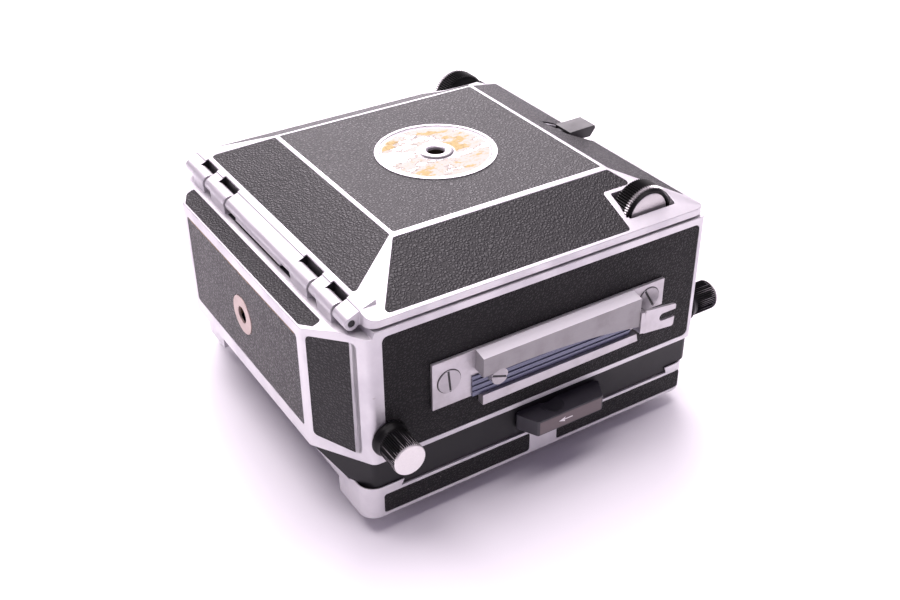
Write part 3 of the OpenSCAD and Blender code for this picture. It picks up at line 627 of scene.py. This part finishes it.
def lock_knob(node, axis):
    """A knurled lock knob: flared foot, neck, straight knurl and a bright scuffed end."""
    lo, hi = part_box(node)
    centre = (lo + hi) / 2
    axis = Vector(axis)
    outward = max(hi.dot(axis), lo.dot(axis))
    tip = centre + axis * (outward - centre.dot(axis))
    length = 13.6    # of the whole knob, in millimetres
    around = frame_to(tip - axis * (length * MM), axis)
    ribs = 48
    foot_part = [(0, 0.1), (6.3, 0.1), (6.6, 0.4), (6.62, 1.1), (6.1, 2.0), (5.6, 2.9), (5.5, 3.6)]
    knurl = [(5.68, 4.0), (5.75, 4.5), (5.75, 10.6), (5.75, 11.6), (5.75, 12.5), (5.7, 13.0)]
    profile = foot_part + knurl + [(5.4, 13.1), (0, 13.15)]
    ribbed = range(len(foot_part), len(foot_part) + len(knurl))
    bm = lathe([(r * MM, h * MM) for r, h in profile], around, ribs * PER_RIB, knurling(ribbed, 0.07))
    stem = lathe([(0, -8 * MM), (1.8 * MM, -8 * MM), (1.8 * MM, 0.4 * MM), (0, 0.4 * MM)], around, 32)
    body = body_of_node[node]
    obj = place(join(bm, stem), "knob." + node, MATERIALS["black_anodised"], body, "black_anodised", [node])

    # the end is worn bright, and so is each rib's crest from a height of its own
    crest, bright_from = 5.68 * MM, 12.9 * MM
    starts = [random.uniform(10.2, 12.8) * MM for _ in range(ribs)]

    def worn(point):
        p = around.inverted() @ point
        rib = round((math.atan2(p.y, p.x) / (2 * math.pi)) * ribs) % ribs
        on_crest = math.hypot(p.x, p.y) > crest
        return 1.0 if p.z > bright_from or (on_crest and p.z > starts[rib]) else 0.0

    set_wear(obj, worn)
    cap = lathe([(0, 13 * MM), (5.55 * MM, 13 * MM), (5.6 * MM, 13.25 * MM), (5.4 * MM, 13.5 * MM),
                 (0, length * MM)], around, 96)
    place(cap, "knob_end." + node, CAP, body, "bright_steel")


for node, axis in (("lock_knob_left", (0, -1, 0)), ("lock_knob_right", (0, 1, 0)),
                   ("lock_knob_top_left", (1, 0, 0)), ("lock_knob_top_right", (1, 0, 0))):
    lock_knob(node, axis)


def focus_wheel(node, side):
    """A focusing wheel: tall straight knurl, a bevelled black ring and a recessed bright end."""
    lo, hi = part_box(node)
    centre = (lo + hi) / 2
    outer = hi.y if side > 0 else lo.y
    w = hi.y - lo.y           # the wheel's width
    r = (hi.x - lo.x) / 2     # its radius
    around = frame_to((centre.x, outer - side * w, centre.z), (0, side, 0))
    ribs = 68
    inner = [(0, 0), (0.86 * r, 0), (0.93 * r, 0.04 * w)]
    knurl = [(r, 0.1 * w), (r, 0.12 * w), (r, 0.7 * w), (r, 0.78 * w), (0.99 * r, 0.84 * w),
             (0.96 * r, 0.88 * w)]
    lip = [(0.93 * r, 0.9 * w), (0.88 * r, w), (0.82 * r, w), (0.79 * r, 0.94 * w), (0, 0.94 * w)]
    ribbed = range(len(inner), len(inner) + len(knurl))
    bm = lathe(inner + knurl + lip, around, ribs * PER_RIB, knurling(ribbed, 0.05))
    body = body_of_node[node]
    obj = place(bm, "wheel." + node, MATERIALS["black_anodised"], body, "black_anodised", [node])

    def worn(point):
        """The crests of the bevel between the knurl and the lip."""
        p = around.inverted() @ point
        return 1.0 if math.hypot(p.x, p.y) > 0.945 * r and 0.77 * w < p.z < 0.89 * w else 0.0

    set_wear(obj, worn)
    end = lathe([(0, 0.9 * w), (0.77 * r, 0.9 * w), (0.77 * r, 0.955 * w), (0.74 * r, 0.97 * w),
                 (0, 0.965 * w)], around, 96)
    place(end, "wheel_end." + node, CAP, body, "bright_steel")


focus_wheel("focus_wheel_left", -1)
focus_wheel("focus_wheel_right", 1)


# ---------------------------------------------------------------- socket threads, the slide's marks

def thread(name, mouth, axis, radius, depth, body, material):
    """The ridges that show inside a tripod socket, and the cup that they stand in."""
    around = frame_to(mouth, axis)
    pitch, sides = 1.27 * MM, 40    # 20 turns to the inch
    crest = radius - 0.35 * MM
    turns = int(depth / pitch)
    bm = bmesh.new()
    rows = []
    for k in range(turns * sides + 1):
        a = 2 * math.pi * k / sides
        z = -depth + pitch * k / sides
        row = [(radius, z - 0.3 * pitch), (crest, z), (radius, z + 0.3 * pitch)]
        rows.append([bm.verts.new(around @ Vector((r * math.cos(a), r * math.sin(a), h))) for r, h in row])
    for one, two in zip(rows, rows[1:]):
        for i in range(3):
            j = (i + 1) % 3
            bm.faces.new((one[i], one[j], two[j], two[i]))
    bm.faces.new(rows[0])
    bm.faces.new(rows[-1][::-1])
    place(bm, name, material, body, "bright_steel")
    wall, skin = radius - 0.02 * MM, 0.12 * MM
    cup = lathe([(0, -depth - MM), (wall, -depth - MM), (wall, 0), (wall - skin, 0), (wall - skin, -depth),
                 (0, -depth)], around, 48)
    place(cup, name + ".cup", material, body, "bright_steel")


mounts = {m["name"]: m for m in frame["record"]["mounts"]}
bed_hole, body_hole = mounts["bed_tripod_socket"], mounts["body_tripod_socket"]
THREAD_DEPTH = 7.2 * MM
disc_top, bush_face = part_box("tripod_disc")[1].z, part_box("tripod_bush")[0].x
# painted shade: the bed's thread and its cup are near black, standing in for the shade inside the socket
thread("thread.bed", (0, 0, disc_top - 1.4 * MM), (0, 0, 1), bed_hole["dims"]["r_mm"] * MM, THREAD_DEPTH,
       "bed", THREAD_PAINTED_SHADE)
thread("thread.body", (bush_face + 0.9 * MM, 0, body_hole["pos_m"][2]), (-1, 0, 0),
       body_hole["dims"]["r_mm"] * MM, THREAD_DEPTH, "body", BROWN_THREAD)

# the slide's face plate and its arrow
slide_lo, slide_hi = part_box("release_slide")
slide_x = (slide_lo.x + slide_hi.x) / 2
slide_z = (slide_lo.z + slide_hi.z) / 2
face = frame_to((slide_x, slide_lo.y, slide_z), (0, -1, 0))


def on_face(points):
    """Points given as (along X, up Z) on the slide's face, in its own plane."""
    plane = face.inverted()
    made = []
    for x, z in points:
        p = plane @ Vector((slide_x + x * MM, slide_lo.y, slide_z + z * MM))
        made.append((p.x, p.y))
    return made


plate = [(-13.4, -2.6), (13.4, -2.6), (13.4, 2.6), (-13.4, 2.6)]
place(slab(on_face(plate), face, 0.12 * MM), "label_plate", LABEL, "slide_button", "black_plastic")
arrow = [(-5.4, 0), (-2.6, 1.0), (-2.9, 0.22), (0.6, 0.22), (0.6, -0.22), (-2.9, -0.22), (-2.6, -1.0)]
place(slab(on_face(arrow), face, 0.16 * MM), "label_arrow", WHITE, "slide_button", "black_plastic")


# ---------------------------------------------------------------- painted shade in recesses and screws, old glue

pin_lo, pin_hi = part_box("hinge_pin")
PIN_X, PIN_Z = (pin_lo.x + pin_hi.x) / 2 / MM, (pin_lo.z + pin_hi.z) / 2 / MM
# the bed's pockets for the body's knuckles, in millimetres: their ends along the pin, and their walls
POCKETS = ((26.5, 39.4), (45.4, 55.8))
POCKET_FRONT, POCKET_BACK, POCKET_FLOOR, POCKET_TOP = PIN_X + 0.8, PIN_X + 3.9, 83.4, 88.0
SIDE_LOW, SIDE_HIGH = PIN_Z + 0.4, PIN_Z + 2.75
ROOT = 0.02    # how far a film of painted shade reaches into the wall behind it


def painted_pocket_shade(name, y0, y1):
    """Painted shade: a black film on the three walls of one hinge pocket, standing in for the shade deep
    inside it.
    """
    back_wall = block((POCKET_BACK - FILM, y0, POCKET_FLOOR), (POCKET_BACK + ROOT, y1, POCKET_TOP))
    outline = [(POCKET_FRONT, SIDE_LOW), (POCKET_BACK, SIDE_LOW), (POCKET_BACK, POCKET_TOP),
               (POCKET_FRONT, SIDE_HIGH)]
    sides = []
    for y in (y0 - ROOT, y1 - FILM):
        on_wall = Matrix(((1, 0, 0, 0), (0, 0, -1, (y + FILM + ROOT) * MM), (0, 1, 0, 0), (0, 0, 0, 1)))
        sides.append(slab([(a * MM, b * MM) for a, b in outline], on_wall, (FILM + ROOT) * MM))
    place(join(back_wall, *sides), name, MATERIALS["black_paint"], "bed", "black_paint")


# painted shade in every hinge pocket, on both sides
for k, (near, far) in enumerate(POCKETS):
    painted_pocket_shade(f"pocket_lining_right_{k}", near, far)
    painted_pocket_shade(f"pocket_lining_left_{k}", -far, -near)

# painted shade: the ledge is painted black under the tongue, where it lies in shade
LEDGE_Z, TONGUE_END = 80.3, 26.3
place(block((PIN_X - 1.9, -TONGUE_END, LEDGE_Z - 0.1), (PIN_X + 2, TONGUE_END, LEDGE_Z + FILM)),
      "ledge_shade", MATERIALS["black_paint"], "body", "black_paint")

# each screw of the grip: place along X and Z, radius, turn of its slot in degrees, and how proud of the
# plate it stands; a screw that lies flat on the plate gets a black ring of painted shade where its head
# meets the plate, and every slot a black film of painted shade at its bottom
SCREWS = ((-39.7, 54.6, 4.3, 84, 0.45), (44, 57, 4.3, 60, 0.45), (-22.3, 52, 3.2, 20, 4.0))
SLOT_HALF, SLOT_DEPTH, SLOT_INSET = 0.37, 0.3, 0.35
plate_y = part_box("grip_plate")[0].y / MM
for k, (x, z, r, turn, proud) in enumerate(SCREWS):
    if proud < 1:
        towards = frame_to((x * MM, plate_y * MM, z * MM), (0, -1, 0))
        # painted shade: a black ring where the head meets the plate
        ring = [(r - 0.1, -FILM), (r + 0.3, -FILM), (r + 0.3, FILM), (r - 0.1, FILM), (r - 0.1, -FILM)]
        place(lathe([(a * MM, b * MM) for a, b in ring], towards, 64), f"screw_gap_shade_{k}",
              MATERIALS["black_paint"], "body", "black_paint")
    # painted shade: a black film at the bottom of the slot
    slot = block((-r + SLOT_INSET, -FILM, -SLOT_HALF), (r - SLOT_INSET, 0, SLOT_HALF))
    slot_y = plate_y - proud + SLOT_DEPTH
    spin = Matrix.Translation((x * MM, slot_y * MM, z * MM)) @ Matrix.Rotation(math.radians(turn), 4, "Y")
    bmesh.ops.transform(slot, matrix=spin, verts=slot.verts)
    place(slot, f"screw_slot_shade_{k}", MATERIALS["black_paint"], "body", "black_paint")

# old glue along the top edge of the bottom leather, and painted shade in the seam at its near end
panel_lo, panel_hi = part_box("leather_bottom")
on_panel = Matrix(((0, 0, 1, panel_lo.x - FILM * MM), (1, 0, 0, 0), (0, 1, 0, 0), (0, 0, 0, 1)))
start, end, steps = panel_lo.y + 1.4 * MM, panel_hi.y - 1.4 * MM, 70
top_line = [(start + (end - start) * k / steps, panel_hi.z + 0.08 * MM) for k in range(steps + 1)]
low_line = [(y, panel_hi.z - random.uniform(0.3, 0.75) * MM) for y, _ in reversed(top_line)]
place(slab(low_line[::-1] + top_line[::-1], on_panel, 2 * FILM * MM), "glue_edge", GLUE, "body",
      "leatherette")
seam_near, seam_far = panel_lo.y - 0.1 * MM, panel_lo.y + 0.3 * MM
seam_low, seam_high = panel_lo.z + 2 * MM, panel_hi.z - 2 * MM
seam_shade = [(seam_near, seam_low), (seam_far, seam_low), (seam_far, seam_high), (seam_near, seam_high)]
# painted shade: a black strip in the seam at the leather's near end
place(slab(seam_shade, on_panel, 2 * FILM * MM), "leather_seam_shade", MATERIALS["black_paint"], "body", "black_paint")


# ---------------------------------------------------------------- bellows

def bellows():
    """Square pleated bellows, packed flat while the camera is closed."""
    lo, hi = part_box("bellows")
    folds, steps = 9, 10
    back_half, taper, pleat, cut = 44.6, 11.6, 4.2, 3.0 * MM
    bm = bmesh.new()
    rings = []
    for i in range(2 * folds + 1):
        t = i / (2 * folds)
        z = lo.z + (hi.z - lo.z) * t
        half = (back_half - taper * t - (pleat if i % 2 else 0)) * MM
        ring = []
        corners = [(half, -half + cut), (half, half - cut), (half - cut, half), (-half + cut, half),
                   (-half, half - cut), (-half, -half + cut), (-half + cut, -half), (half - cut, -half)]
        for a, b in zip(corners, corners[1:] + corners[:1]):
            n = steps if math.dist(a, b) > 10 * MM else 1    # a cut corner stays one edge
            for k in range(n):
                ring.append(bm.verts.new((a[0] + (b[0] - a[0]) * k / n, a[1] + (b[1] - a[1]) * k / n, z)))
        rings.append(ring)
    for one, two in zip(rings, rings[1:]):
        for k in range(len(one)):
            n = (k + 1) % len(one)
            bm.faces.new((one[k], one[n], two[n], two[k]))
    obj = finish_mesh(bm, "bellows_cloth", MATERIALS["bellows_cloth"], math.radians(80))
    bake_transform(obj)
    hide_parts("bellows")


bellows()


# ---------------------------------------------------------------- floor, light, camera

OVERHEAD_W, BACK_W, LEFT_W, SKY = 27, 18.5, 1.0, 0.25
AIM = Vector((0, 0, 0.05))    # where the lights point
LAMP_PINK = (1, 0.915, 0.975)


def floor():
    """The pale paper that the camera lies on, level with the lowest point of the CAD model."""
    s = Surface("floor_paper")
    cloud = s.noise(6, 2)
    s.feed("color", s.mix(cloud, (0.93, 0.925, 0.94), (0.95, 0.945, 0.96)))
    s.feed("rough", s.ramp(cloud, 0, 1, 0.85, 0.95))
    bm = bmesh.new()
    bmesh.ops.create_grid(bm, x_segments=4, y_segments=4, size=4)
    for v in bm.verts:
        v.co.z = cad_lo.z
    obj = finish_mesh(bm, "floor", s.material)


floor()


def softbox(name, place_at, size, power, color):
    """A rectangular area light that faces the object."""
    data = bpy.data.lights.new(name, "AREA")
    data.shape = "RECTANGLE"
    data.size, data.size_y = size
    data.energy = power
    data.color = color
    obj = bpy.data.objects.new(name, data)
    obj.location = place_at
    obj.rotation_euler = (AIM - Vector(place_at)).to_track_quat("-Z", "Y").to_euler()
    bpy.context.scene.collection.objects.link(obj)


softbox("overhead", (0.0, 0.25, 1.2), (1.3, 1.2), OVERHEAD_W, LAMP_PINK)
softbox("back", (0.5, 1.1, 0.7), (1.2, 1.0), BACK_W, LAMP_PINK)
softbox("left", (-1.1, 0.35, 0.75), (0.9, 0.8), LEFT_W, (1, 0.9, 0.96))

world = bpy.data.worlds.new("studio")
world.use_nodes = True
sky = world.node_tree.nodes["Background"]
sky.inputs["Color"].default_value = (0.98, 0.8, 1.12, 1)
sky.inputs["Strength"].default_value = SKY
bpy.context.scene.world = world
bpy.context.scene.view_settings.view_transform = "Standard"

# the camera looks down at the object's near corner, with a slight roll
EYE = Vector((-200.5, -328.3, 285.25)) * MM
AZIMUTH, ELEVATION, ROLL = math.radians(-32.12), math.radians(33.31), math.radians(-0.39)
back = Vector((math.sin(AZIMUTH) * math.cos(ELEVATION), -math.cos(AZIMUTH) * math.cos(ELEVATION),
               math.sin(ELEVATION)))
right = Vector((math.cos(AZIMUTH), math.sin(AZIMUTH), 0))
above = back.cross(right)
right, above = (right * math.cos(ROLL) + above * math.sin(ROLL),
                above * math.cos(ROLL) - right * math.sin(ROLL))
camera = bpy.data.objects.new("camera", bpy.data.cameras.new("camera"))
camera.matrix_world = Matrix.Translation(EYE) @ Matrix((right, above, back)).transposed().to_4x4()
camera.data.lens = 46.97
camera.data.sensor_width = 36
bpy.context.scene.collection.objects.link(camera)
bpy.context.scene.camera = camera
